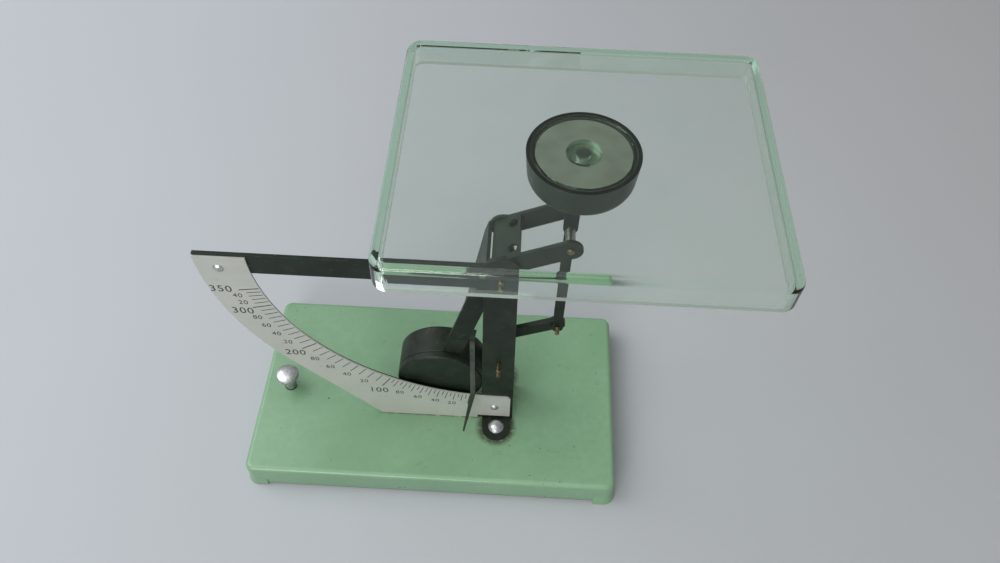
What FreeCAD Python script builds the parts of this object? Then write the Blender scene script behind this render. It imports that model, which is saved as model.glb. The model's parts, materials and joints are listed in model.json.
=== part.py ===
import FreeCAD, Part
import math
import os

V = FreeCAD.Vector

# All lengths in mm, angles in degrees.
# +X is the weighing pan's side, +Y is the back, +Z is up.
# The sizes below are laid out from the middle of the base's footprint on the bench. The part's own
# origin is the middle of its overall outline on the bench; save() moves every piece there.

# Base: a tray pressed from sheet steel, with its skirt turned down.
base_width = 150.0
base_depth = 83.2
base_height = 13.0
base_sheet = 1.0
base_corner_radius = 3.8
base_edge_radius = 2.0
skirt_gap = 1.0            # the skirt ends this far above the bench between the corners
foot_reach = 8.0           # length of each corner foot along both sides
foot_top = 4.5             # the feet start to spread below this height
foot_flare = 1.4           # how far a right-hand foot spreads outwards
short_foot_gap = 0.6       # the left-hand feet hang this far above the bench

# Frame: two upright plates that carry the axles. Each stands on a round-ended tab.
plate = 1.2                # thickness of all the pressed mechanism plates
front_plate_y = -12.5      # front face of the front plate
rear_plate_y = 2.6         # front face of the rear plate
column_x = 25.8
column_width = 13.0        # at the base
column_top_width = 11.4
column_ear_radius = 6.2
arm_bottom = 106.6
arm_top = 115.9            # level with the top of the scale's backing
tab_radius = 6.0
front_tab_y = -17.1        # centre of the front tab's round end
rear_tab_y = 8.0
foot_rivet_shank = 1.6
foot_rivet_head = (3.3, 1.9)
foot_rivet_tail = (2.6, 1.3)

# The rear plate is narrower, to leave room for the swinging weight.
rear_plate_left = 21.8
rear_plate_right = 31.8
rear_plate_root = 18.0     # full column width up to this height
rear_plate_waist = 28.0    # narrow from this height
rear_plate_shoulder = 20.0 # distance below the fulcrum at which it starts to taper
rear_plate_tip_radius = 2.4

# Pivots. The four axles stand on the corners of a parallelogram.
fulcrum = (25.9, 113.2)
lever_arm = 23.7
arm_rise = 26.0            # the arm's slope above horizontal with the pan empty
link_drop = 56.4
axle_radius = 0.8
running_gap = 0.05
open_pivot_gap = 0.09      # clearance of the stem pin, where the linkage is left open
spacer_gap = 0.1           # end play of the distance tubes
spacer_bore = axle_radius + 0.02
spacer_radius = 2.0
lever_spacer_radius = 1.6
axle_peen = (1.3, 0.6)     # radius and height of the pan axle's peened end
axle_reach = 0.5           # the pan axle stands this far in front of the yoke
axle_head = (1.5, 0.7)     # radius and thickness
fulcrum_front = -18.0
link_axle_front = -18.2
stem_pin_front = -4.4
split_pin_inset = 1.4
split_pin_wire = 0.32
split_pin_eye = 0.56
split_pin_leg = (1.1, 0.6, 0.45)   # leg length, depth at which it starts and sideways lean

# Scale plate: an arc band struck from a centre close to the fulcrum.
scale_centre = (25.0, 114.0)
scale_sheet = 0.6
scale_inner = 82.2
scale_outer = 99.6
scale_top = 115.0
scale_right = 31.2
scale_foot_x = -21.6
scale_corner_radius = 1.8
notch_x = 17.8
notch_height = 2.8
backing_inset = 1.4        # the backing stands back from the scale's inner edge
backing_spread = 0.9       # and shows this much on the left
scale_rivet_head = (1.75, 0.9)     # radius as a multiple of the shank's, and height
scale_rivet_tail = (1.5, 0.6)
scale_rivet_places = [((-67.2, 109.2), 1.1), ((24.8, 22.9), 1.0)]

# Lever: a U-shaped yoke, its weight arm, the weight and the pointer.
yoke_front_y = -10.9
yoke_rear_y = 6.6
strip_half = 3.9           # half the width of the yoke's arms
ear_radius = 5.0
boss_radius = 4.1
web_start = -2.4           # along the arm from the fulcrum
web_end = 7.8
web_hole_along = 5.2
web_hole_radius = 1.7
web_hole_y = (-7.0, 3.6)
flange_full = 5.0          # the side flange keeps its full depth this far below the fulcrum
flange_length = 28.0       # and has tapered away here
weight_centre = (3.0, 38.7)
weight_arm_half = 3.7
weight_arm_root = (24.1, 113.2)
weight_arm_y = -7.6        # front face of the arm's lower part, set back from the yoke
joggle_start = 12.0
joggle_end = 20.0
weight_radius = 17.0
weight_front_y = -10.6
weight_rear_y = 4.4
weight_pin_radius = 2.0
weight_pin_head = (3.4, 1.2)
weight_reach = 90.0        # the weight arm's outline ends inside this distance
weight_rear_round = 1.2
weight_front_round = 0.9
weight_seam_round = 0.4    # the small rounding where cap and drum meet

# Pointer: its foot lies behind the weight arm and its blade comes forwards past the scale.
pointer_angle = 7.8
pointer_sheet = 0.8
pointer_width = 1.9
pointer_tip_width = 0.7
pointer_foot_top = 45.0    # distances from the fulcrum
pointer_foot_bottom = 51.0
pointer_bend = 52.0
pointer_front_bend = 69.0
pointer_length = 98.8
pointer_neck_shift = 3.6   # the blade's upper end leans this far towards the weight arm
pointer_foot_side = 10.4
pointer_front_y = -19.6
pointer_tip_y = -20.8
pointer_rivet_radius = 1.1
pointer_rivet_offset = 7.4
pointer_rivet_head = (1.8, 0.5)
pointer_rivet_tail = (1.7, 0.6)

# Pan: an upturned clear tray on a cup, carried by a stem.
pan_centre = (48.2, -1.1)
pan_width = 112.2
pan_depth = 94.0
pan_top = 159.3
pan_wall = 2.4
pan_skirt = 9.6
pan_corner_radius = 5.0
pan_edge_radius = 2.0
pan_inner_edge_radius = 1.0
ring_outer = 15.2
ring_inner = 14.4
ring_depth = 2.4
collar_outer = 5.1
collar_inner = 2.35
collar_depth = 3.6
cup_radius = 16.8
cup_floor_radius = 15.9
cup_bend = 5.0
cup_wall = 1.2
cup_height = 12.2
liner_radius = 14.1
liner_thickness = 3.0
liner_inset = 0.7          # the liner's top lies this far below the cup's rim
liner_foot_radius = 10.0
liner_clearance = 0.15     # round the collar
stud_radius = 2.25
stud_inset = 1.0
stem_flange_radius = 5.6
stem_y = -1.8
stem_top_half = 2.4
stem_low_half = 1.8
stem_foot_half = 2.2
stem_slit = (-0.85, 0.05, 7.0)   # left and right ends at the top, and depth
link_y = -0.3
link_width = 2.2
link_half = 2.5
link_eye_radius = 3.0

# Levelling screw on the left.
screw_x = -63.3
screw_y = -2.3
screw_radius = 2.25
screw_hole_gap = 0.4
screw_head_bottom = 20.7
screw_tip_radius = 1.5
screw_tip_z = 0.8
screw_shoulder = 2.1
screw_head_profile = [(3.2, 0.0), (4.7, 0.9), (4.7, 1.7), (4.3, 2.4), (3.2, 2.9), (1.7, 3.2), (0.0, 3.3)]
pad_radius = 3.6
pad_top_radius = 3.0
pad_edge = 1.2
pad_height = 2.0
nut_flats = 8.0
nut_height = 3.5

past = 1.0                 # how far a cutting tool reaches beyond the face it cuts


def polar(centre, radius, angle):
    """Point at an angle above +X in the XZ plane."""
    a = math.radians(angle)
    return (centre[0] + radius * math.cos(a), centre[1] + radius * math.sin(a))


link_pivot = (fulcrum[0], fulcrum[1] - link_drop)
pan_pivot = polar(fulcrum, lever_arm, arm_rise)
stem_pivot = (pan_pivot[0], pan_pivot[1] - link_drop)
front_plate_back = front_plate_y + plate
weight_arm_back = weight_arm_y + plate
rear_plate_back = rear_plate_y + plate
yoke_back = yoke_rear_y + plate
tray_inside_top = base_height - base_sheet
tab_top = base_height + plate

# The weight arm hangs at this angle from straight down, towards the scale.
weight_arm_angle = math.degrees(math.atan2(weight_arm_root[0] - weight_centre[0],
                                           weight_arm_root[1] - weight_centre[1]))

# Where the pointer's foot is riveted: down the pointer's own line, then across it to the left.
pointer_foot_middle = (pointer_foot_top + pointer_foot_bottom) / 2
pointer_rivet_centre = polar(polar(fulcrum, pointer_foot_middle, 270 - pointer_angle),
                             pointer_rivet_offset, 180 - pointer_angle)

cup_rim = pan_top - pan_wall
cup_bottom = cup_rim - cup_height
cup_floor = cup_bottom + cup_wall
liner_top = cup_rim - liner_inset
stem_flange_bottom = cup_bottom - plate

# Middle of the overall outline: the feet end it on the left and the pan ends it on the other sides.
outline_left = -(base_width + foot_flare) / 2
outline_right = pan_centre[0] + pan_width / 2
outline_middle = ((outline_left + outline_right) / 2, pan_centre[1])


# Shape helpers.

def prism_xz(points, y0, y1):
    """Straight-sided outline in the XZ plane, drawn out along Y."""
    corners = [V(x, y0, z) for x, z in points]
    face = Part.Face(Part.makePolygon(corners + corners[:1]))
    return face.extrude(V(0, y1 - y0, 0))


def prism_yz(points, x0, x1):
    """Straight-sided outline in the YZ plane, drawn out along X."""
    corners = [V(x0, y, z) for y, z in points]
    face = Part.Face(Part.makePolygon(corners + corners[:1]))
    return face.extrude(V(x1 - x0, 0, 0))


def rod(centre, radius, y0, y1):
    """Cylinder along Y."""
    return Part.makeCylinder(radius, y1 - y0, V(centre[0], y0, centre[1]), V(0, 1, 0))


def tube(centre, outer, inner, y0, y1):
    return rod(centre, outer, y0, y1).cut(rod(centre, inner, y0, y1))


def post(x, y, radius, z0, z1):
    """Cylinder along Z."""
    return Part.makeCylinder(radius, z1 - z0, V(x, y, z0))


def box(x0, x1, y0, y1, z0, z1):
    return Part.makeBox(x1 - x0, y1 - y0, z1 - z0, V(x0, y0, z0))


def bar(p, p_radius, q, q_radius, y0, y1):
    """Plate with a round end at p, a round end at q and straight sides touching both."""
    length = math.hypot(q[0] - p[0], q[1] - p[1])
    along = math.degrees(math.atan2(q[1] - p[1], q[0] - p[0]))
    lean = math.degrees(math.acos((p_radius - q_radius) / length))
    sides = [
        polar(p, p_radius, along + lean),
        polar(q, q_radius, along + lean),
        polar(q, q_radius, along - lean),
        polar(p, p_radius, along - lean),
    ]
    solid = prism_xz(sides, y0, y1)
    return solid.fuse([rod(p, p_radius, y0, y1), rod(q, q_radius, y0, y1)]).removeSplitter()


def rounded_block(x0, x1, y0, y1, z0, z1, radius):
    """Block with round vertical corners."""
    block = box(x0, x1, y0, y1, z0, z1)
    upright = [e for e in block.Edges if abs(e.Vertexes[0].Z - e.Vertexes[1].Z) > (z1 - z0) / 2]
    return block.makeFillet(radius, upright)


def soften_level(solid, z, radius):
    """Round off every edge that lies at height z."""
    edges = [e for e in solid.Edges if all(abs(v.Z - z) < 1e-6 for v in e.Vertexes)]
    return solid.makeFillet(radius, edges)


def turned(profile, x, y):
    """Solid of revolution about a vertical axis from (radius, height) points."""
    corners = [V(x + r, y, z) for r, z in profile]
    face = Part.Face(Part.makePolygon(corners + corners[:1]))
    return face.revolve(V(x, y, 0), V(0, 0, 1), 360)


def dome(radius, height):
    """Low spherical cap on the XY plane, its middle at the origin."""
    sphere_radius = (radius ** 2 + height ** 2) / (2 * height)
    ball = Part.makeSphere(sphere_radius, V(0, 0, height - sphere_radius))
    return ball.common(box(-radius, radius, -radius, radius, 0, height))


def facing(solid, position, direction):
    """Turn a solid's +Z to a direction and put its origin at a position."""
    moved = solid.copy()
    moved.Placement = FreeCAD.Placement(V(*position), FreeCAD.Rotation(V(0, 0, 1), V(*direction)))
    return moved


def dome_y(centre, radius, height, y, side):
    """Dome on a plane across Y, bulging to the front (side -1) or to the back (side 1)."""
    return facing(dome(radius, height), (centre[0], y, centre[1]), (0, side, 0))


def swung(solid, angle):
    """Turn a solid about the fulcrum; a positive angle takes the bottom to the left."""
    moved = solid.copy()
    moved.rotate(V(fulcrum[0], 0, fulcrum[1]), V(0, 1, 0), angle)
    return moved


def group(solids):
    return Part.makeCompound(solids)


def save(node, shape):
    """Move a finished piece to the part's own origin and write it."""
    moved = shape.copy()
    moved.translate(V(-outline_middle[0], -outline_middle[1], 0))
    moved.exportStep("parts/" + node + ".step")


# Base and levelling screw.

def base_block(spread, z0, z1):
    """The base's outline as a block, spread outwards by a margin."""
    x = base_width / 2 + spread
    y = base_depth / 2 + spread
    return rounded_block(-x, x, -y, y, z0, z1, base_corner_radius + spread)


def base_outline(spread, z):
    """The base's outline as a closed wire at height z."""
    block = base_block(spread, z, z + base_sheet)
    lowest = [f for f in block.Faces if all(abs(v.Z - z) < 1e-6 for v in f.Vertexes)]
    return lowest[0].OuterWire


def flared_block(spread, flare, z0):
    """Solid that spreads outwards from the skirt's line at foot_top to its lower end at z0."""
    return Part.makeLoft([base_outline(spread + flare, z0), base_outline(spread, foot_top)], True)


def corner_foot(x_side, y_side):
    """Foot at one corner: the skirt's lower part, reaching further down and spreading outwards."""
    right = x_side > 0
    gap = 0.0 if right else short_foot_gap
    flare = foot_flare if right else foot_flare / 2
    shell = flared_block(0, flare, gap).cut(flared_block(-base_sheet, flare, gap))
    corner_x = x_side * (base_width / 2 + flare)
    corner_y = y_side * (base_depth / 2 + flare)
    reach_x = corner_x - x_side * (foot_reach + flare)
    reach_y = corner_y - y_side * (foot_reach + flare)
    window = box(min(corner_x, reach_x), max(corner_x, reach_x),
                 min(corner_y, reach_y), max(corner_y, reach_y), gap, foot_top)
    return shell.common(window)


def base_tray():
    outside = soften_level(base_block(0, skirt_gap, base_height), base_height, base_edge_radius)
    inside = soften_level(base_block(-base_sheet, skirt_gap - past, tray_inside_top), tray_inside_top,
                          base_edge_radius - base_sheet)
    feet = [corner_foot(x, y) for x in (-1, 1) for y in (-1, 1)]
    tray = outside.cut(inside).fuse(feet)
    places = [(screw_x, screw_y, screw_radius + screw_hole_gap),
              (column_x, front_tab_y, foot_rivet_shank),
              (column_x, rear_tab_y, foot_rivet_shank)]
    holes = [post(x, y, radius, tray_inside_top - past, base_height + past) for x, y, radius in places]
    return tray.cut(holes).removeSplitter()


def foot_rivet(y):
    """Domed rivet through a foot tab and the base, with its closed end underneath."""
    head = facing(dome(*foot_rivet_head), (column_x, y, tab_top), (0, 0, 1))
    shank = post(column_x, y, foot_rivet_shank, tray_inside_top, tab_top)
    tail = facing(dome(*foot_rivet_tail), (column_x, y, tray_inside_top), (0, 0, -1))
    return head.fuse([shank, tail]).removeSplitter()


def level_screw():
    """Turned thumb screw; its thin end turns in the pad."""
    chamfer = screw_radius - screw_tip_radius
    profile = [
        (0, screw_tip_z),
        (screw_tip_radius, screw_tip_z),
        (screw_tip_radius, screw_shoulder),
        (screw_radius, screw_shoulder + chamfer),
        (screw_radius, screw_head_bottom - chamfer),
    ]
    profile += [(r, screw_head_bottom + z) for r, z in screw_head_profile]
    return turned(profile, screw_x, screw_y)


def level_pad():
    """Round pad that the screw stands in without turning it."""
    pad = turned([(0, 0), (pad_radius, 0), (pad_radius, pad_edge), (pad_top_radius, pad_height),
                  (0, pad_height)], screw_x, screw_y)
    socket = post(screw_x, screw_y, screw_tip_radius + running_gap, screw_tip_z - running_gap,
                  pad_height + past)
    return pad.cut(socket)


def level_nut():
    """Hexagonal nut welded under the base."""
    corner_radius = nut_flats / 2 / math.cos(math.radians(30))
    ring = []
    for i in range(6):
        a = math.radians(60 * i)
        ring.append(V(screw_x + corner_radius * math.cos(a), screw_y + corner_radius * math.sin(a),
                      tray_inside_top - nut_height))
    nut = Part.Face(Part.makePolygon(ring + ring[:1])).extrude(V(0, 0, nut_height))
    return nut.cut(post(screw_x, screw_y, screw_radius + running_gap, 0, base_height))


# Frame.

def scale_sector(inner, outer, y0, y1, left_spread):
    """The scale's outline: an arc band that runs into a straight slope down to the base."""
    cx, cz = scale_centre
    corner = (scale_foot_x - left_spread, base_height)
    away = math.hypot(corner[0] - cx, corner[1] - cz)
    facing_corner = math.degrees(math.atan2(corner[1] - cz, corner[0] - cx))
    touch = polar(scale_centre, outer, facing_corner - math.degrees(math.acos(outer / away)))
    disc = rod(scale_centre, outer, y0, y1)
    below = prism_xz([corner, (cx + outer, base_height), (cx + outer, cz), (cx, cz), touch], y0, y1)
    left = disc.common(box(cx - outer, cx, y0, y1, base_height, scale_top + left_spread))
    band = left.fuse(below).cut(rod(scale_centre, inner, y0 - past, y1 + past))
    band = band.common(box(cx - outer, scale_right, y0, y1, base_height, cz + outer))
    over = box(cx, cx + outer, y0 - past, y1 + past, cz - inner, cz + outer)
    return band.cut(over).removeSplitter()


def foot_tab(y0, y1, round_end_y):
    """Flat tab on the base with a round end."""
    flat = box(column_x - tab_radius, column_x + tab_radius, y0, y1, base_height, tab_top)
    end = post(column_x, round_end_y, tab_radius, base_height, tab_top)
    return flat.fuse(end)


def axle_holes(radius, y0, y1):
    return [rod(p, radius, y0 - past, y1 + past) for p in (fulcrum, link_pivot)]


def frame_plate():
    """Front plate: column, arm, scale backing and the tab that stands on the base."""
    y0, y1 = front_plate_y, front_plate_back
    low_half = column_width / 2
    top_half = column_top_width / 2
    column = prism_xz([(column_x - low_half, base_height), (column_x + low_half, base_height),
                       (column_x + top_half, fulcrum[1]), (column_x - top_half, fulcrum[1])], y0, y1)
    ear = rod(fulcrum, column_ear_radius, y0, y1)
    arc_x = scale_centre[0] - math.sqrt(scale_inner ** 2 - (scale_centre[1] - arm_bottom) ** 2)
    scale_overlap = (scale_outer - scale_inner) / 2
    arm = box(arc_x - scale_overlap, column_x, y0, y1, arm_bottom, arm_top)
    backing = scale_sector(scale_inner + backing_inset, scale_outer, y0, y1, backing_spread)
    behind = box(column_x - tab_radius, column_x + tab_radius, y1, y1 + 2 * tab_radius,
                 base_height - past, tab_top + past)
    tab = foot_tab(front_tab_y, y1, front_tab_y).cut(behind)
    body = column.fuse([ear, arm, backing, tab])
    holes = axle_holes(axle_radius, y0, y1)
    holes += [rod(p, r, y0 - past, y1 + past) for p, r in scale_rivet_places]
    holes.append(post(column_x, front_tab_y, foot_rivet_shank, base_height - past, tab_top + past))
    return body.cut(holes).removeSplitter()


def rear_column():
    """Rear plate, narrow at the top so that the yoke can turn round it."""
    y0, y1 = rear_plate_y, rear_plate_back
    shoulder = fulcrum[1] - rear_plate_shoulder
    middle = (rear_plate_left + rear_plate_right) / 2
    half = (rear_plate_right - rear_plate_left) / 2
    top = bar(fulcrum, rear_plate_tip_radius, (middle, shoulder), half, y0, y1)
    shank = box(rear_plate_left, rear_plate_right, y0, y1, base_height, shoulder)
    root_half = column_width / 2
    root = prism_xz([(rear_plate_left, rear_plate_waist), (column_x - root_half, rear_plate_root),
                     (column_x - root_half, base_height), (column_x + root_half, base_height),
                     (column_x + root_half, rear_plate_root), (rear_plate_right, rear_plate_waist)],
                    y0, y1)
    body = top.fuse([shank, root, foot_tab(y0, rear_tab_y, rear_tab_y)])
    front_room = box(column_x - tab_radius, column_x + tab_radius, y0 - 2 * tab_radius, y0,
                     base_height - past, tab_top + past)
    holes = axle_holes(axle_radius, y0, y1)
    holes.append(post(column_x, rear_tab_y, foot_rivet_shank, base_height - past, tab_top + past))
    return body.cut([front_room] + holes).removeSplitter()


def scale_plate():
    """Printed sheet: its top right corner is rounded and it is notched over the column's tab."""
    y0, y1 = front_plate_y - scale_sheet, front_plate_y
    sheet = scale_sector(scale_inner, scale_outer, y0, y1, 0.0)
    top_right = scale_centre[1] - scale_inner
    corner = [e for e in sheet.Edges
              if all(abs(v.X - scale_right) < 1e-6 and abs(v.Z - top_right) < past for v in e.Vertexes)]
    sheet = sheet.makeFillet(scale_corner_radius, corner)
    notch = box(notch_x, scale_right + past, y0 - past, y1 + past, base_height - past,
                base_height + notch_height)
    holes = [rod(p, r, y0 - past, y1 + past) for p, r in scale_rivet_places]
    return sheet.cut([notch] + holes).removeSplitter()


def scale_rivet(centre, shank_radius):
    """Domed rivet through the scale and its backing."""
    front = front_plate_y - scale_sheet
    head = dome_y(centre, shank_radius * scale_rivet_head[0], scale_rivet_head[1], front, -1)
    shank = rod(centre, shank_radius, front, front_plate_back)
    tail = dome_y(centre, shank_radius * scale_rivet_tail[0], scale_rivet_tail[1], front_plate_back, 1)
    return head.fuse([shank, tail]).removeSplitter()


# Axles and split pins.

def split_pin(centre, y):
    """Bent wire through an axle: an eye above it and two spread legs below."""
    x, z = centre
    reach = 2 * split_pin_eye
    stem = post(x, y, split_pin_wire, z - reach, z + reach)
    eye = Part.makeTorus(split_pin_eye, split_pin_wire, V(x, y, z + reach + split_pin_eye * 0.7),
                         V(0, 1, 0))
    length, start, lean = split_pin_leg
    legs = []
    for side in (-1, 1):
        direction = V(side * lean, 0, -1)
        legs.append(Part.makeCylinder(split_pin_wire, length, V(x, y, z - start), direction))
    return stem.fuse([eye] + legs).removeSplitter()


def axle(centre, y0, y1):
    """Round pin with a flat head at the back and a split pin's hole near the front."""
    head_radius, head_thickness = axle_head
    body = rod(centre, axle_radius, y0, y1).fuse(rod(centre, head_radius, y1, y1 + head_thickness))
    return body.cut(split_pin(centre, y0 + split_pin_inset)).removeSplitter()


def fixed_spacers():
    """Distance tubes on the two fixed axles."""
    rows = [
        (fulcrum, yoke_front_y + plate + spacer_gap, rear_plate_y),
        (fulcrum, rear_plate_back, yoke_rear_y - spacer_gap),
        (link_pivot, front_plate_back, link_y - spacer_gap),
    ]
    return group([tube(centre, spacer_radius, spacer_bore, y0, y1) for centre, y0, y1 in rows])


# Lever.

def weight_arm_solid(half, y0, y1):
    return bar(weight_arm_root, half, weight_centre, half, y0, y1)


def hanging(profile, x_left, x_right):
    """Side profile of (y, height above the fulcrum) points, drawn out along X and swung in line."""
    x, z = fulcrum
    points = [(y, z + s) for y, s in profile]
    return swung(prism_yz(points, x + x_left, x + x_right), weight_arm_angle)


def stepped_strip():
    """Side profile of the weight arm, which steps back part way down."""
    front = [(yoke_front_y, 2 * ear_radius), (yoke_front_y, -joggle_start),
             (weight_arm_y, -joggle_end), (weight_arm_y, -weight_reach)]
    back = [(y + plate, s) for y, s in reversed(front)]
    return hanging(front + back, -3 * ear_radius, 3 * ear_radius)


def web():
    """Turned edge that joins the two arms over the fulcrum, with two round holes."""
    y0, y1 = yoke_front_y, yoke_back
    x, z = fulcrum
    outside = bar(fulcrum, strip_half, pan_pivot, strip_half, y0, y1)
    inside = bar(fulcrum, strip_half - plate, pan_pivot, strip_half - plate, y0 - past, y1 + past)
    zone = box(x + web_start, x + web_end, y0, y1, z + plate, z + 2 * strip_half)
    zone.rotate(V(x, 0, z), V(0, 1, 0), -arm_rise)
    hole_x, hole_z = polar(fulcrum, web_hole_along, arm_rise)
    rise = math.radians(arm_rise)
    up = V(-math.sin(rise), 0, math.cos(rise))
    holes = [Part.makeCylinder(web_hole_radius, 2 * strip_half, V(hole_x, y, hole_z), up)
             for y in web_hole_y]
    return outside.cut(inside).common(zone).cut(holes)


def side_flange():
    """Turned edge down the arm's outer side, which tapers away to the front."""
    y0, y1 = yoke_front_y, yoke_back
    outside = weight_arm_solid(weight_arm_half, y0, y1)
    inside = weight_arm_solid(weight_arm_half - plate, y0 - past, y1 + past)
    profile = [(y0, 0), (y1, 0), (y1, -flange_full), (weight_arm_y + plate, -flange_length),
               (weight_arm_y, -flange_length), (weight_arm_y, -joggle_end), (y0, -joggle_start)]
    zone = hanging(profile, -2 * ear_radius, -2 * plate)
    return outside.cut(inside).common(zone)


def lever_yoke():
    """U-shaped pressing: two arms, the web that joins them and the weight arm."""
    y0, y1 = yoke_front_y, yoke_back
    arms = []
    for y in (yoke_front_y, yoke_rear_y):
        arms += [bar(fulcrum, strip_half, pan_pivot, strip_half, y, y + plate),
                 rod(fulcrum, ear_radius, y, y + plate),
                 rod(pan_pivot, boss_radius, y, y + plate)]
    weight_arm = weight_arm_solid(weight_arm_half, y0 - past, yoke_rear_y).common(stepped_strip())
    body = web().fuse(arms + [weight_arm, side_flange()])
    holes = [rod(fulcrum, axle_radius + running_gap, y0 - past, y1 + past),
             rod(pan_pivot, axle_radius, y0 - past, y1 + past),
             rod(weight_centre, weight_pin_radius, y0 - past, y1 + past),
             rod(pointer_rivet_centre, pointer_rivet_radius, y0 - past, y1 + past)]
    return body.cut(holes).removeSplitter()


def weight_disc(y0, front_round, y1, rear_round):
    """Disc along Y with both rims rounded and a hole for the pin."""
    disc = rod(weight_centre, weight_radius, y0, y1)
    for y, radius in ((y0, front_round), (y1, rear_round)):
        rim = [e for e in disc.Edges if all(abs(v.Y - y) < 1e-6 for v in e.Vertexes)]
        disc = disc.makeFillet(radius, rim)
    return disc.cut(rod(weight_centre, weight_pin_radius, y0 - past, y1 + past))


def weight_drum():
    """Thick part of the weight, slotted for the arm that lies in its front face."""
    slot = weight_arm_solid(weight_arm_half, weight_arm_y - past, weight_arm_back)
    return weight_disc(weight_arm_y, weight_seam_round, weight_rear_y, weight_rear_round).cut(slot)


def weight_cap():
    return weight_disc(weight_front_y, weight_front_round, weight_arm_y, weight_seam_round)


def weight_pin():
    """Pin that holds the cap, the arm and the drum together, flush in front and closed behind."""
    shank = rod(weight_centre, weight_pin_radius, weight_front_y, weight_rear_y)
    return shank.fuse(dome_y(weight_centre, *weight_pin_head, weight_rear_y, 1)).removeSplitter()


def pointer():
    """Bent strip drawn hanging straight down from the fulcrum, then turned to its rest angle."""
    x, z = fulcrum
    t = pointer_sheet
    foot_y = weight_arm_back
    front = [(foot_y, -pointer_foot_top), (foot_y, -pointer_bend),
             (pointer_front_y, -pointer_front_bend), (pointer_tip_y, -pointer_length)]
    back = [(y + t, s) for y, s in reversed(front)]
    strip = prism_yz([(y, z + s) for y, s in front + back], x - 2 * pointer_foot_side,
                     x + 2 * pointer_foot_side)
    half = pointer_width / 2
    tip = pointer_tip_width / 2
    neck = -pointer_neck_shift
    outline = prism_xz([
        (x - pointer_foot_side, z - pointer_foot_top),
        (x + neck + half, z - pointer_foot_top),
        (x + neck + half, z - pointer_foot_bottom),
        (x + half, z - pointer_front_bend),
        (x + tip, z - pointer_length),
        (x - tip, z - pointer_length),
        (x - half, z - pointer_front_bend),
        (x + neck - half, z - pointer_foot_bottom),
        (x - pointer_foot_side, z - pointer_foot_bottom),
    ], pointer_tip_y - past, foot_y + t + past)
    blade = swung(strip.common(outline), pointer_angle)
    return blade.cut(rod(pointer_rivet_centre, pointer_rivet_radius, foot_y - past, foot_y + t + past))


def pointer_rivet():
    """Rivet through the weight arm and the pointer's foot behind it."""
    y0 = weight_arm_y
    y1 = weight_arm_back + pointer_sheet
    head = dome_y(pointer_rivet_centre, *pointer_rivet_head, y0, -1)
    tail = dome_y(pointer_rivet_centre, *pointer_rivet_tail, y1, 1)
    return head.fuse([rod(pointer_rivet_centre, pointer_rivet_radius, y0, y1), tail]).removeSplitter()


def pan_axle():
    """Axle fixed in the yoke's arms, its front end peened over."""
    front = yoke_front_y - axle_reach
    body = rod(pan_pivot, axle_radius, front, yoke_back)
    peened = dome_y(pan_pivot, *axle_peen, front, -1)
    head_radius, head_thickness = axle_head
    head = rod(pan_pivot, head_radius, yoke_back, yoke_back + head_thickness)
    return body.fuse([peened, head]).removeSplitter()


def lever_spacers():
    """Tubes that keep the stem in the middle of the pan axle."""
    return group([
        tube(pan_pivot, lever_spacer_radius, spacer_bore, yoke_front_y + plate, stem_y - spacer_gap),
        tube(pan_pivot, lever_spacer_radius, spacer_bore, stem_y + plate + spacer_gap, yoke_rear_y),
    ])


# Pan and link.

def pan_block(shrink, z0, z1):
    x, y = pan_centre
    half_x = pan_width / 2 - shrink
    half_y = pan_depth / 2 - shrink
    return rounded_block(x - half_x, x + half_x, y - half_y, y + half_y, z0, z1,
                         pan_corner_radius - shrink)


def pan_ring(outer, inner, depth):
    """Round rib under the tray's plate."""
    x, y = pan_centre
    root = cup_rim + pan_wall / 4
    return post(x, y, outer, cup_rim - depth, root).cut(post(x, y, inner, cup_rim - depth, root))


def pan_tray():
    """Clear tray, open side down, with a ring and a collar under it that find the cup."""
    skirt_bottom = pan_top - pan_skirt
    outside = soften_level(pan_block(0, skirt_bottom, pan_top), pan_top, pan_edge_radius)
    inside = soften_level(pan_block(pan_wall, skirt_bottom - past, cup_rim), cup_rim,
                          pan_inner_edge_radius)
    shell = outside.cut(inside)
    ribs = [pan_ring(ring_outer, ring_inner, ring_depth),
            pan_ring(collar_outer, collar_inner, collar_depth)]
    return shell.fuse(ribs).removeSplitter()


def pan_cup():
    """Shallow cup with a rounded floor."""
    x, y = pan_centre
    outside = turned([(0, cup_bottom), (cup_floor_radius, cup_bottom), (cup_radius, cup_rim), (0, cup_rim)],
                     x, y)
    outside = soften_level(outside, cup_bottom, cup_bend)
    inner_rim = cup_radius - cup_wall
    inside = turned([(0, cup_floor), (cup_floor_radius - cup_wall, cup_floor), (inner_rim, cup_rim),
                     (inner_rim, cup_rim + past), (0, cup_rim + past)], x, y)
    inside = soften_level(inside, cup_floor, cup_bend - cup_wall)
    return outside.cut(inside).cut(post(x, y, stud_radius, cup_bottom - past, cup_floor + past))


def cup_liner():
    """Puck in the cup with a recess for the tray's collar."""
    x, y = pan_centre
    puck = post(x, y, liner_radius, liner_top - liner_thickness, liner_top)
    foot = post(x, y, liner_foot_radius, cup_floor, liner_top)
    recess = post(x, y, collar_outer + liner_clearance, cup_rim - collar_depth - liner_clearance,
                  liner_top + past)
    bore = post(x, y, stud_radius, cup_floor - past, liner_top + past)
    return puck.fuse(foot).cut([recess, bore]).removeSplitter()


def cup_stud():
    """Stud that clamps stem, cup and liner and centres the tray's collar."""
    x, y = pan_centre
    return post(x, y, stud_radius, stem_flange_bottom, cup_rim - stud_inset)


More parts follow.
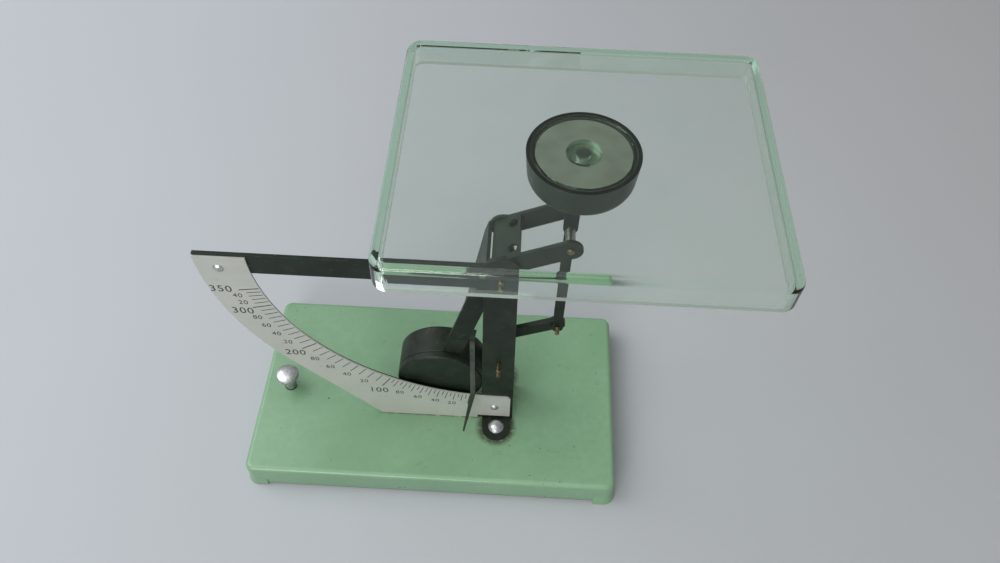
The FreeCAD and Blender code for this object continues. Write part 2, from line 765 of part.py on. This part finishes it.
def pan_stem():
    """Upright strip from the cup to the link, slit at the top, with a round flange brazed on."""
    x, y = pan_centre
    y0, y1 = stem_y, stem_y + plate
    flange = post(x, y, stem_flange_radius, stem_flange_bottom, cup_bottom)
    top = (pan_pivot[0], stem_flange_bottom - past)
    upper = bar(top, stem_top_half, pan_pivot, stem_top_half, y0, y1)
    above = box(x - 2 * stem_flange_radius, x + 2 * stem_flange_radius, y0 - past, y1 + past,
                stem_flange_bottom, cup_rim)
    left, right, depth = stem_slit
    slit = prism_xz([(top[0] + left, stem_flange_bottom), (top[0] + right, stem_flange_bottom),
                     (top[0] + (left + right) / 2, stem_flange_bottom - depth)], y0 - past, y1 + past)
    lower = bar(pan_pivot, stem_low_half, stem_pivot, stem_low_half, y0, y1)
    foot = rod(stem_pivot, stem_foot_half, y0, y1)
    body = upper.cut([above, slit]).fuse([flange, lower, foot])
    holes = [rod(pan_pivot, axle_radius + running_gap, y0 - past, y1 + past),
             rod(stem_pivot, axle_radius, y0 - past, y1 + past),
             post(x, y, stud_radius, stem_flange_bottom, cup_bottom + past)]
    return body.cut(holes).removeSplitter()


def lower_link():
    """Link that keeps the stem upright; it turns freely on both pins."""
    y0, y1 = link_y, link_y + link_width
    body = bar(link_pivot, link_half, stem_pivot, link_half, y0, y1)
    body = body.fuse([rod(p, link_eye_radius, y0, y1) for p in (link_pivot, stem_pivot)])
    holes = [rod(link_pivot, axle_radius + running_gap, y0 - past, y1 + past),
             rod(stem_pivot, axle_radius + open_pivot_gap, y0 - past, y1 + past)]
    return body.cut(holes).removeSplitter()


os.makedirs("parts", exist_ok=True)

save("base_tray", base_tray())
save("frame_plate", frame_plate())
save("rear_column", rear_column())
save("foot_rivets", group([foot_rivet(front_tab_y), foot_rivet(rear_tab_y)]))
save("scale_plate", scale_plate())
save("scale_rivets", group([scale_rivet(place, radius) for place, radius in scale_rivet_places]))
save("fulcrum_axle", axle(fulcrum, fulcrum_front, yoke_back + past))
save("link_axle", axle(link_pivot, link_axle_front, rear_plate_back))
save("frame_split_pins", group([split_pin(fulcrum, fulcrum_front + split_pin_inset),
                                split_pin(link_pivot, link_axle_front + split_pin_inset)]))
save("frame_spacers", fixed_spacers())
save("level_nut", level_nut())
save("level_screw", level_screw())
save("level_pad", level_pad())

save("lever_yoke", lever_yoke())
save("weight_drum", weight_drum())
save("weight_cap", weight_cap())
save("weight_pin", weight_pin())
save("pointer", pointer())
save("pointer_rivet", pointer_rivet())
save("pan_axle", pan_axle())
save("lever_spacers", lever_spacers())

save("pan_tray", pan_tray())
save("pan_cup", pan_cup())
save("cup_liner", cup_liner())
save("cup_stud", cup_stud())
save("pan_stem", pan_stem())
save("stem_pin", axle(stem_pivot, stem_pin_front, link_y + link_width))
save("stem_split_pin", split_pin(stem_pivot, stem_pin_front + split_pin_inset))
save("lower_link", lower_link())
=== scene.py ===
"""A pendulum letter scale: materials, printed scale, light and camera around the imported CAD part."""
import json
import math

import bmesh
import bpy
from mathutils import Euler, Matrix, Vector


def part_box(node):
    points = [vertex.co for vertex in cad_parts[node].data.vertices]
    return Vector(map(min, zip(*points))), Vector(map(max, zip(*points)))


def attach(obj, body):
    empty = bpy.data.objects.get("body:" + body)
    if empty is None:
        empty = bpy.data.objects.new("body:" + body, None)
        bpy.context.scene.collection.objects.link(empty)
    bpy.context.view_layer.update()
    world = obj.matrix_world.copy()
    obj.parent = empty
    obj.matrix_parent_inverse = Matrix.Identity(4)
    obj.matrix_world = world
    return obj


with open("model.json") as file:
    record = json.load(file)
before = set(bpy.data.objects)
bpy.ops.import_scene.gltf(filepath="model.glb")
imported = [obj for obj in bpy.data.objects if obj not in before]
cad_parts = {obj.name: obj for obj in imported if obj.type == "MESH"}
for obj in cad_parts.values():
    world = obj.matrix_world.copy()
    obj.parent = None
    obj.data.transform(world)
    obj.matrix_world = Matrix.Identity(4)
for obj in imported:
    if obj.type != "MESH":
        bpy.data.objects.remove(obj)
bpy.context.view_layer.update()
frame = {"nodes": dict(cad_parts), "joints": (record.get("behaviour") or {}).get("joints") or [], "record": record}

MM = 0.001

# The fulcrum and the graduation law. With the pan empty the arm rises at arm_rise and the pointer
# stands at zero_angle from straight down. A load of m grams turns the lever by t, where
# m = grams_scale * sin(t) / cos(arm_rise - t).
joints = {joint["name"]: joint for joint in frame["joints"]}
fulcrum = Vector(joints["lever_swing"]["pos_m"])
pan_pivot = Vector(joints["pan_level"]["pos_m"])
arm_rise = math.atan2(pan_pivot.z - fulcrum.z, pan_pivot.x - fulcrum.x)
zero_angle = math.radians(7.8)
grams_scale = 254.4
greatest_load = 350

scale_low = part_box("scale_plate")[0]
scale_face_y = scale_low.y
# The scale's inner edge is an arc struck a little above and to the left of the fulcrum.
scale_centre = fulcrum + Vector((-0.9, 0.0, 0.8)) * MM
scale_inner = 82.2 * MM


# Node helpers.

class Finish:
    """One material's node tree, with short calls for the nodes that every finish uses."""

    def __init__(self, name):
        self.material = bpy.data.materials.new(name)
        self.material.use_nodes = True
        self.tree = self.material.node_tree
        self.surface = self.tree.nodes["Principled BSDF"]
        self.output = self.tree.nodes["Material Output"]
        self.place = self.node("ShaderNodeTexCoord").outputs["Object"]

    def node(self, kind, **settings):
        """New node of a kind, with the given settings."""
        made = self.tree.nodes.new(kind)
        for key, value in settings.items():
            setattr(made, key, value)
        return made

    def wire(self, source, target):
        """Link a socket to target, or set target to a plain number or colour."""
        if isinstance(source, bpy.types.NodeSocket):
            self.tree.links.new(source, target)
        else:
            target.default_value = source

    def set(self, **inputs):
        """Inputs of the surface shader; an underscore stands for a space in an input's name."""
        for key, value in inputs.items():
            self.wire(value, self.surface.inputs[key.replace("_", " ")])

    def stretched(self, x, y, z):
        """The object's own coordinates, each axis multiplied."""
        mapping = self.node("ShaderNodeMapping")
        self.wire(self.place, mapping.inputs["Vector"])
        mapping.inputs["Scale"].default_value = (x, y, z)
        return mapping.outputs["Vector"]

    def noise(self, size_mm, detail=3.0, roughness=0.55, place=None):
        """Cloudy pattern, 0 to 1, with features of about the size given."""
        node = self.node("ShaderNodeTexNoise")
        self.wire(place or self.place, node.inputs["Vector"])
        node.inputs["Scale"].default_value = 1.0 / (size_mm * MM)
        node.inputs["Detail"].default_value = detail
        node.inputs["Roughness"].default_value = roughness
        return node.outputs["Fac"]

    def band(self, value, low, high, to_low=0.0, to_high=1.0):
        """Value stretched from low..high to to_low..to_high and held at the ends."""
        node = self.node("ShaderNodeMapRange", clamp=True)
        self.wire(value, node.inputs["Value"])
        ends = {"From Min": low, "From Max": high, "To Min": to_low, "To Max": to_high}
        for key, number in ends.items():
            node.inputs[key].default_value = number
        return node.outputs["Result"]

    def patches(self, size_mm, low, high, detail=3.0, roughness=0.55):
        """Cloudy pattern cut into patches: 0 where it is below low and 1 where it is above high."""
        return self.band(self.noise(size_mm, detail, roughness), low, high)

    def between(self, share, start, end):
        """A number that goes from start to end as share goes from 0 to 1."""
        return self.band(share, 0.0, 1.0, start, end)

    def math(self, operation, a, b):
        node = self.node("ShaderNodeMath", operation=operation)
        self.wire(a, node.inputs[0])
        self.wire(b, node.inputs[1])
        return node.outputs[0]

    def times(self, a, b):
        return self.math("MULTIPLY", a, b)

    def mix(self, share, a, b):
        """Colour a turning into colour b as share goes from 0 to 1."""
        node = self.node("ShaderNodeMix", data_type="RGBA")
        self.wire(share, node.inputs["Factor"])
        self.wire(a, node.inputs["A"])
        self.wire(b, node.inputs["B"])
        return next(s for s in node.outputs if s.type == "RGBA")

    def lay(self, colour, over, share, strength=1.0):
        """Colour with another one laid over it where share is 1, as strongly as given."""
        if strength != 1.0:
            share = self.times(share, strength)
        return self.mix(share, colour, over)

    def edges(self, width_mm, low, high):
        """1 on sharp edges and 0 on flats: how far a bevelled normal bends, from low to high."""
        bevel = self.node("ShaderNodeBevel", samples=4)
        bevel.inputs["Radius"].default_value = width_mm * MM
        normal = self.node("ShaderNodeNewGeometry").outputs["Normal"]
        dot = self.node("ShaderNodeVectorMath", operation="DOT_PRODUCT")
        self.wire(bevel.outputs["Normal"], dot.inputs[0])
        self.wire(normal, dot.inputs[1])
        bend = self.math("SUBTRACT", 1.0, dot.outputs["Value"])
        return self.band(bend, low, high)

    def bump(self, height, depth_mm, strength):
        """Fine relief of the surface."""
        node = self.node("ShaderNodeBump")
        node.inputs["Strength"].default_value = strength
        node.inputs["Distance"].default_value = depth_mm * MM
        self.wire(height, node.inputs["Height"])
        self.wire(node.outputs["Normal"], self.surface.inputs["Normal"])

    def axis(self, name):
        """One of the object's own coordinates."""
        split = self.node("ShaderNodeSeparateXYZ")
        self.wire(self.place, split.inputs[0])
        return split.outputs[name]

    def near(self, point, inner_mm, outer_mm):
        """1 within inner_mm of a point and 0 beyond outer_mm."""
        away = self.node("ShaderNodeVectorMath", operation="DISTANCE")
        self.wire(self.place, away.inputs[0])
        away.inputs[1].default_value = point
        return self.band(away.outputs["Value"], outer_mm * MM, inner_mm * MM)


def rgb(r, g, b):
    """Colour from 0..255 screen values, as the linear numbers that nodes take."""
    def linear(c):
        c /= 255.0
        return c / 12.92 if c <= 0.04045 else ((c + 0.055) / 1.055) ** 2.4
    return (linear(r), linear(g), linear(b), 1.0)


# Materials.

def base_enamel():
    """Light green enamel on the base: slightly mottled, specked, and darker in patches round the column's feet."""
    f = Finish("base_enamel")
    cloud = f.patches(38, 0.35, 0.65, detail=4)
    colour = f.mix(cloud, rgb(112, 149, 116), rgb(122, 158, 126))
    colour = f.lay(colour, rgb(105, 141, 107), f.patches(2.4, 0.3, 0.7, detail=2), 0.35)

    rivets_low, rivets_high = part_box("foot_rivets")
    foot_x = (rivets_low.x + rivets_high.x) / 2
    foot_z = (rivets_low.z + rivets_high.z) / 2
    rivet_radius = (rivets_high.x - rivets_low.x) / 2
    feet = [(foot_x, rivets_low.y + rivet_radius, foot_z), (foot_x, rivets_high.y - rivet_radius, foot_z)]
    # Darker in patches within a few millimetres of each of the column's feet.
    ring = f.math("MAXIMUM", *(f.near(foot, inner_mm=7.0, outer_mm=9.0) for foot in feet))
    dark_round_feet = f.times(ring, f.patches(2.2, 0.3, 0.5, detail=5))
    colour = f.lay(colour, rgb(62, 64, 44), dark_round_feet, 0.85)

    specks = f.patches(1.5, 0.775, 0.8, detail=1, roughness=0.3)
    specked_parts = f.patches(24, 0.5, 0.62, detail=2)
    colour = f.lay(colour, rgb(40, 42, 34), f.times(specks, specked_parts))

    flaking = f.patches(4.5, 0.57, 0.6, detail=6, roughness=0.7)
    chips = f.times(f.edges(0.9, 0.02, 0.2), flaking)
    colour = f.lay(colour, rgb(72, 66, 56), chips)

    f.set(Base_Color=colour, Roughness=f.band(f.noise(9, detail=4), 0.3, 0.7, 0.26, 0.42),
          Coat_Weight=0.25, Coat_Roughness=0.2)
    chip_depth = f.times(chips, -3.0)
    f.bump(f.math("ADD", f.noise(1.3, detail=2), chip_depth), depth_mm=0.05, strength=0.35)
    return f.material


def mechanism_enamel():
    """Green-black enamel on the pressed plates, thin on the edges, with a little rust."""
    f = Finish("mechanism_enamel")
    cloud = f.patches(9, 0.35, 0.65, detail=5)
    colour = f.mix(cloud, rgb(17, 25, 18), rgb(26, 36, 26))
    worn = f.times(f.edges(0.45, 0.03, 0.25), f.patches(2.2, 0.42, 0.62, detail=5))
    colour = f.lay(colour, rgb(84, 88, 74), worn, 0.45)
    colour = f.lay(colour, rgb(60, 66, 54), f.patches(1.0, 0.72, 0.76, detail=1))
    rust = f.times(f.patches(6, 0.6, 0.68, detail=6), f.patches(0.8, 0.45, 0.6))
    colour = f.lay(colour, rgb(80, 62, 42), rust, 0.4)
    f.set(Base_Color=colour, Specular_IOR_Level=0.28,
          Roughness=f.band(f.noise(5, detail=4), 0.3, 0.7, 0.34, 0.52))
    f.bump(f.noise(0.9), depth_mm=0.03, strength=0.5)
    return f.material


def scale_metal():
    """Aluminium sheet, brushed along X, dulled and a little stained, with painted brown shade along its lowest
    edge.
    """
    f = Finish("scale_metal")
    brushed = f.noise(1.0, place=f.stretched(0.045, 1, 2.6))
    colour = f.mix(brushed, rgb(178, 180, 173), rgb(194, 196, 189))
    colour = f.lay(colour, rgb(164, 168, 156), f.patches(17, 0.4, 0.66, detail=5), 0.3)
    colour = f.lay(colour, rgb(96, 98, 84), f.patches(1.3, 0.7, 0.76, detail=2), 0.5)
    # Painted shade: a brown band, broken in patches, along the lowest millimetre of the plate, standing in for its
    # edge in shadow.
    low_edge = f.band(f.axis("Z"), scale_low.z + 1.0 * MM, scale_low.z + 0.3 * MM)
    edge_shade = f.times(low_edge, f.patches(2.5, 0.3, 0.55, detail=4))
    colour = f.lay(colour, rgb(98, 84, 60), edge_shade)
    f.set(Base_Color=colour, Metallic=0.3, Roughness=f.band(brushed, 0.25, 0.75, 0.42, 0.58))
    f.bump(brushed, depth_mm=0.02, strength=0.35)
    return f.material


def turned_aluminium():
    """Dulled aluminium with fine turning rings across each piece's upright axis."""
    f = Finish("turned_aluminium")
    rings = f.node("ShaderNodeTexWave", wave_type="BANDS", bands_direction="Z")
    f.wire(f.place, rings.inputs["Vector"])
    rings.inputs["Scale"].default_value = 520
    rings.inputs["Distortion"].default_value = 0.6
    dull = f.patches(2.6, 0.4, 0.65, detail=5)
    colour = f.mix(dull, rgb(200, 202, 203), rgb(160, 163, 162))
    pits = f.patches(0.7, 0.68, 0.74, detail=2)
    colour = f.lay(colour, rgb(90, 88, 78), pits, 0.6)
    f.set(Base_Color=colour, Metallic=0.9, Roughness=f.between(dull, 0.27, 0.43))
    f.bump(rings.outputs["Fac"], depth_mm=0.02, strength=0.4)
    return f.material


def drawn_brass():
    """Dull brass wire and rod, tarnished in patches, with fine drawing lines along Y."""
    f = Finish("drawn_brass")
    tarnish = f.patches(1.6, 0.4, 0.62, detail=5)
    colour = f.mix(tarnish, rgb(148, 136, 100), rgb(88, 80, 58))
    f.set(Base_Color=colour, Metallic=1.0, Roughness=f.between(tarnish, 0.34, 0.55))
    f.bump(f.noise(0.5, place=f.stretched(1, 0.15, 1)), depth_mm=0.02, strength=0.4)
    return f.material


def turned_steel():
    """Plain steel with patches of rust."""
    f = Finish("turned_steel")
    rust = f.patches(2.0, 0.5, 0.66, detail=6, roughness=0.65)
    colour = f.mix(rust, rgb(150, 150, 146), rgb(96, 72, 52))
    f.set(Base_Color=colour, Metallic=f.between(rust, 1.0, 0.35), Roughness=f.between(rust, 0.28, 0.7))
    f.bump(f.noise(0.6, detail=4), depth_mm=0.03, strength=0.5)
    return f.material


def pointer_steel():
    """Thin green-black strip, rubbed lighter in places."""
    f = Finish("pointer_steel")
    rubbed = f.patches(3, 0.45, 0.7, detail=4)
    colour = f.mix(rubbed, rgb(34, 44, 34), rgb(60, 70, 56))
    f.set(Base_Color=colour, Metallic=0.35, Roughness=f.between(rubbed, 0.45, 0.36))
    f.bump(f.noise(0.5), depth_mm=0.02, strength=0.4)
    return f.material


def pad_rubber():
    """Black rubber, dusty in places."""
    f = Finish("pad_rubber")
    dust = f.patches(1.8, 0.45, 0.7, detail=5)
    colour = f.mix(dust, rgb(26, 26, 26), rgb(64, 62, 58))
    f.set(Base_Color=colour, Roughness=f.between(dust, 0.6, 0.85))
    f.bump(f.noise(0.5), depth_mm=0.05, strength=0.6)
    return f.material


def clear_sheet():
    """Clear sheet that is green in depth, with smears and fine scratches on its faces."""
    f = Finish("clear_sheet")
    smear = f.patches(16, 0.42, 0.7, detail=4)
    tint = f.mix(smear, (0.985, 0.99, 0.985, 1.0), (0.955, 0.975, 0.962, 1.0))
    f.set(Base_Color=tint, Transmission_Weight=1.0, IOR=1.5, Specular_IOR_Level=0.3,
          Roughness=f.between(smear, 0.0, 0.035))
    scratches = f.noise(0.7, detail=2, place=f.stretched(0.12, 1.0, 1.0))
    f.bump(scratches, depth_mm=0.004, strength=0.12)

    depth = f.node("ShaderNodeVolumeAbsorption")
    depth.inputs["Color"].default_value = (0.28, 0.87, 0.42, 1.0)
    depth.inputs["Density"].default_value = 50.0
    f.wire(depth.outputs[0], f.output.inputs["Volume"])

    # Shadow rays pass straight through, so that the pan's shadow stays pale.
    see_through = f.node("ShaderNodeBsdfTransparent")
    see_through.inputs["Color"].default_value = (0.96, 0.985, 0.97, 1.0)
    either = f.node("ShaderNodeMixShader")
    f.wire(f.node("ShaderNodeLightPath").outputs["Is Shadow Ray"], either.inputs[0])
    f.wire(f.surface.outputs[0], either.inputs[1])
    f.wire(see_through.outputs[0], either.inputs[2])
    f.wire(either.outputs[0], f.output.inputs["Surface"])
    return f.material


def liner_plastic():
    """Grey-green puck with a finely pitted face."""
    f = Finish("liner_plastic")
    cloud = f.patches(5, 0.35, 0.65, detail=4)
    colour = f.mix(cloud, rgb(84, 84, 77), rgb(98, 99, 91))
    f.set(Base_Color=colour, Roughness=f.between(cloud, 0.4, 0.55))
    f.bump(f.noise(0.6), depth_mm=0.03, strength=0.5)
    return f.material


def scale_ink():
    """Dark green-black printing ink, thin in places."""
    f = Finish("scale_ink")
    thin = f.patches(0.5, 0.5, 0.75)
    colour = f.mix(thin, rgb(36, 44, 34), rgb(74, 82, 70))
    f.set(Base_Color=colour, Roughness=f.between(thin, 0.5, 0.65))
    f.bump(f.noise(0.3, detail=2), depth_mm=0.004, strength=0.4)
    return f.material


def floor_paper():
    """Pale paper with painted light falloff: lighter and cooler grey at the left, darker and warmer grey at the
    right.
    """
    f = Finish("floor_paper")
    cloud = f.noise(160)
    lit_grey = f.mix(cloud, rgb(174, 178, 184), rgb(179, 183, 188))
    shaded_grey = f.mix(cloud, rgb(154, 154, 155), rgb(159, 159, 160))
    # Painted light falloff: the lit grey at the left fades into the shaded grey at the right.
    colour = f.mix(f.band(f.axis("X"), -0.2, 0.4), lit_grey, shaded_grey)
    fibre = f.noise(1.2, detail=4)
    colour = f.lay(colour, rgb(158, 159, 162), fibre, 0.12)
    f.set(Base_Color=colour, Roughness=0.9)
    f.bump(fibre, depth_mm=0.03, strength=0.3)
    return f.material


finishes = {
    "base_paint": base_enamel(),
    "mechanism_paint": mechanism_enamel(),
    "scale_aluminium": scale_metal(),
    "polished_aluminium": turned_aluminium(),
    "brass": drawn_brass(),
    "steel": turned_steel(),
    "pointer_steel": pointer_steel(),
    "pad_rubber": pad_rubber(),
    "clear_pan": clear_sheet(),
    "liner_plastic": liner_plastic(),
}


def dress_nodes():
    """Give every CAD node the finish that its slot in the record names."""
    for entry in frame["record"]["subparts"]:
        node = frame["nodes"][entry["node"]]
        node.data.materials.clear()
        node.data.materials.append(finishes[entry["material_slot"]])


# Printed scale.

def swing_for(grams):
    """How far the lever turns for a load, found by halving an interval that holds the answer."""
    low, high = 0.0, math.radians(80.0)
    halvings = 40
    for _ in range(halvings):
        middle = (low + high) / 2
        if grams_scale * math.sin(middle) / math.cos(arm_rise - middle) < grams:
            low = middle
        else:
            high = middle
    return (low + high) / 2


def on_scale(angle, radius, lift=0.0):
    """Point in front of the scale plate at an angle from straight down, towards the left."""
    x = fulcrum.x - radius * math.sin(angle)
    z = fulcrum.z - radius * math.cos(angle)
    return Vector((x, scale_face_y - lift, z))


def inner_edge(angle):
    """Distance from the fulcrum to the scale's inner edge at an angle from straight down."""
    ray = Vector((-math.sin(angle), 0.0, -math.cos(angle)))
    offset = scale_centre - fulcrum
    along = ray.dot(offset)
    return along + math.sqrt(scale_inner ** 2 - offset.length_squared + along ** 2)


ink_lift = 0.03 * MM
thin_tick = 0.3 * MM
thick_tick = 0.42 * MM
tick_margin = 0.35 * MM        # bare metal between the plate's edge and a tick
last_half_step = 100           # g; up to here the 5 g steps have ticks too

# How far the ticks' outer ends and the figures' middles lie from the scale's inner edge.
half_step_reach = 3.4 * MM
tick_reach = 5.6 * MM
large_tick_reach = 7.6 * MM
small_figure_reach = 8.6 * MM
large_figure_reach = 11.4 * MM
last_figure_reach = 13.6 * MM

small_figure = 2.4 * MM
large_figure = 3.6 * MM
capital_height = 0.73          # height of a figure as a share of the font's size
figure_spacing = 1.1           # room for each figure, as a multiple of the font's own
figure_slip = math.radians(0.7)
figure_spread = 0.8 * MM


def add_tick(mesh, angle, inner, outer, width):
    """A thin raised bar along a radius."""
    middle = on_scale(angle, (inner + outer) / 2)
    along = (on_scale(angle, outer) - on_scale(angle, inner)).normalized()
    across = Vector((0, -1, 0)).cross(along)
    corners = []
    for y_step in (0.0, -ink_lift):
        for u, v in ((-1, -1), (1, -1), (1, 1), (-1, 1)):
            point = middle + along * (u * (outer - inner) / 2) + across * (v * width / 2)
            corners.append(mesh.verts.new(point + Vector((0, y_step, 0))))
    for face in ((4, 5, 6, 7), (0, 3, 2, 1), (0, 1, 5, 4), (1, 2, 6, 5), (2, 3, 7, 6), (3, 0, 4, 7)):
        mesh.faces.new([corners[i] for i in face])


def print_on_plate(name, mesh_data, ink):
    """Make a piece of printing that rides with the scale plate."""
    made = bpy.data.objects.new(name, mesh_data)
    bpy.context.scene.collection.objects.link(made)
    mesh_data.materials.clear()
    mesh_data.materials.append(ink)
    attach(made, "frame")


def is_large(grams):
    """Whether a mark has a long tick. All of these but zero have a large figure too."""
    return grams % 100 == 0 or grams == greatest_load


def graduations(ink):
    """Ticks for every 10 g, short ones for the 5 g steps up to 100 g, long ones where is_large says so."""
    mesh = bmesh.new()
    for grams in range(0, greatest_load + 1, 5):
        half_step = grams % 10 != 0
        if half_step and grams > last_half_step:
            continue
        width, reach = thin_tick, tick_reach
        if is_large(grams):
            width, reach = thick_tick, large_tick_reach
        elif half_step:
            reach = half_step_reach
        angle = zero_angle + swing_for(grams)
        edge = inner_edge(angle)
        add_tick(mesh, angle, edge + tick_margin, edge + reach, width)
    data = bpy.data.meshes.new("graduations")
    bmesh.ops.recalc_face_normals(mesh, faces=mesh.faces)
    mesh.to_mesh(data)
    mesh.free()
    print_on_plate("graduations", data, ink)


def numeral_mesh(words, height, centre):
    """Upright figures of a given height, centred on a point of the plate, as a thin raised mesh."""
    curve = bpy.data.curves.new("numeral", "FONT")
    curve.body = words
    curve.size = height / capital_height
    curve.align_x = "CENTER"
    curve.align_y = "CENTER"
    curve.extrude = ink_lift / 2
    curve.space_character = figure_spacing
    temporary = bpy.data.objects.new("numeral", curve)
    bpy.context.scene.collection.objects.link(temporary)
    bpy.context.view_layer.update()
    depsgraph = bpy.context.evaluated_depsgraph_get()
    data = bpy.data.meshes.new_from_object(temporary.evaluated_get(depsgraph))
    bpy.data.objects.remove(temporary)
    upright = Euler((math.pi / 2, 0, 0)).to_matrix().to_4x4()
    data.transform(Matrix.Translation(centre) @ upright)
    return data


def figure_place(grams):
    """Angle and distance from the fulcrum of a figure's middle.

    Towards full load the figures stand a little lower than their ticks and further out, to clear
    each other. The last one stands higher than its tick instead, and beyond all the others.
    """
    at_tick = zero_angle + swing_for(grams)
    if grams == greatest_load:
        angle = at_tick + figure_slip
        return angle, inner_edge(angle) + last_figure_reach
    share = grams / greatest_load
    angle = at_tick - figure_slip * share
    reach = large_figure_reach if is_large(grams) else small_figure_reach
    return angle, inner_edge(angle) + reach + figure_spread * share


def numerals(ink):
    """Large hundreds and small twenties beyond the ticks, all reading level."""
    joined = bmesh.new()
    for grams in range(20, greatest_load + 1, 10):
        large = is_large(grams)
        if not large and grams % 20 != 0:
            continue
        words = str(grams) if large else str(grams % 100)
        height = large_figure if large else small_figure
        angle, radius = figure_place(grams)
        data = numeral_mesh(words, height, on_scale(angle, radius, ink_lift / 2))
        joined.from_mesh(data)
        bpy.data.meshes.remove(data)
    result = bpy.data.meshes.new("numerals")
    joined.to_mesh(result)
    joined.free()
    print_on_plate("numerals", result, ink)


# Floor, light and camera.

floor_half = 3.0                    # half the side of the square floor
world_colour = (0.85, 0.85, 0.86, 1.0)
world_strength = 0.42

camera_place = (15.1 * MM, -170.1 * MM, 322.1 * MM)
camera_pitch = math.radians(53.31)  # how far it looks down
camera_yaw = math.radians(-1.42)    # how far it looks towards +X
camera_roll = math.radians(1.80)
camera_lens = 29.23                 # mm, for a sensor of the width below
sensor_width = 36.0                 # mm


def make_floor():
    data = bpy.data.meshes.new("floor")
    outline = [(-floor_half, -floor_half, 0), (floor_half, -floor_half, 0),
               (floor_half, floor_half, 0), (-floor_half, floor_half, 0)]
    data.from_pydata(outline, [], [(0, 1, 2, 3)])
    floor = bpy.data.objects.new("floor", data)
    bpy.context.scene.collection.objects.link(floor)
    data.materials.append(floor_paper())


def area_light(name, place, target, size, watts, colour):
    """A rectangular light at a place, facing a target."""
    data = bpy.data.lights.new(name, "AREA")
    data.shape = "RECTANGLE"
    data.size, data.size_y = size
    data.energy = watts
    data.color = colour
    light = bpy.data.objects.new(name, data)
    bpy.context.scene.collection.objects.link(light)
    light.location = place
    light.rotation_euler = (Vector(target) - Vector(place)).to_track_quat("-Z", "Y").to_euler()


def sky_light(direction, strength, spread):
    """Even light from a wide patch of sky, so that the floor is lit all the way to the horizon."""
    data = bpy.data.lights.new("sky", "SUN")
    data.energy = strength
    data.angle = math.radians(spread)
    light = bpy.data.objects.new("sky", data)
    bpy.context.scene.collection.objects.link(light)
    light.rotation_euler = Vector(direction).to_track_quat("Z", "Y").to_euler()


def make_light():
    """Daylight from a window at the left, a softer light from the front, sky and a pale surround."""
    world = bpy.data.worlds.new("studio")
    bpy.context.scene.world = world
    world.use_nodes = True
    backdrop = world.node_tree.nodes["Background"]
    backdrop.inputs["Color"].default_value = world_colour
    backdrop.inputs["Strength"].default_value = world_strength
    area_light("window", place=(-0.8, 0.15, 0.85), target=(-0.05, 0.0, 0.05),
               size=(0.9, 0.9), watts=7.0, colour=(0.94, 0.98, 1.0))
    area_light("front", place=(-0.35, -1.1, 0.5), target=(0.0, 0.0, 0.05),
               size=(0.7, 0.4), watts=7.0, colour=(1.0, 1.0, 0.98))
    sky_light(direction=(-0.36, -0.25, 0.9), strength=1.0, spread=60.0)


def make_camera():
    """Looks steeply down at the letter scale from the front, almost straight on."""
    data = bpy.data.cameras.new("camera")
    camera = bpy.data.objects.new("camera", data)
    bpy.context.scene.collection.objects.link(camera)
    data.sensor_width = sensor_width
    data.lens = camera_lens
    data.clip_start = 0.01
    turn = Euler((math.pi / 2 - camera_pitch, 0.0, -camera_yaw)).to_matrix()
    turn = turn @ Matrix.Rotation(camera_roll, 3, "Z")
    camera.matrix_world = Matrix.Translation(camera_place) @ turn.to_4x4()
    bpy.context.scene.camera = camera


dress_nodes()
ink = scale_ink()
graduations(ink)
numerals(ink)
make_floor()
make_light()
make_camera()
bpy.context.scene.view_settings.view_transform = "Standard"
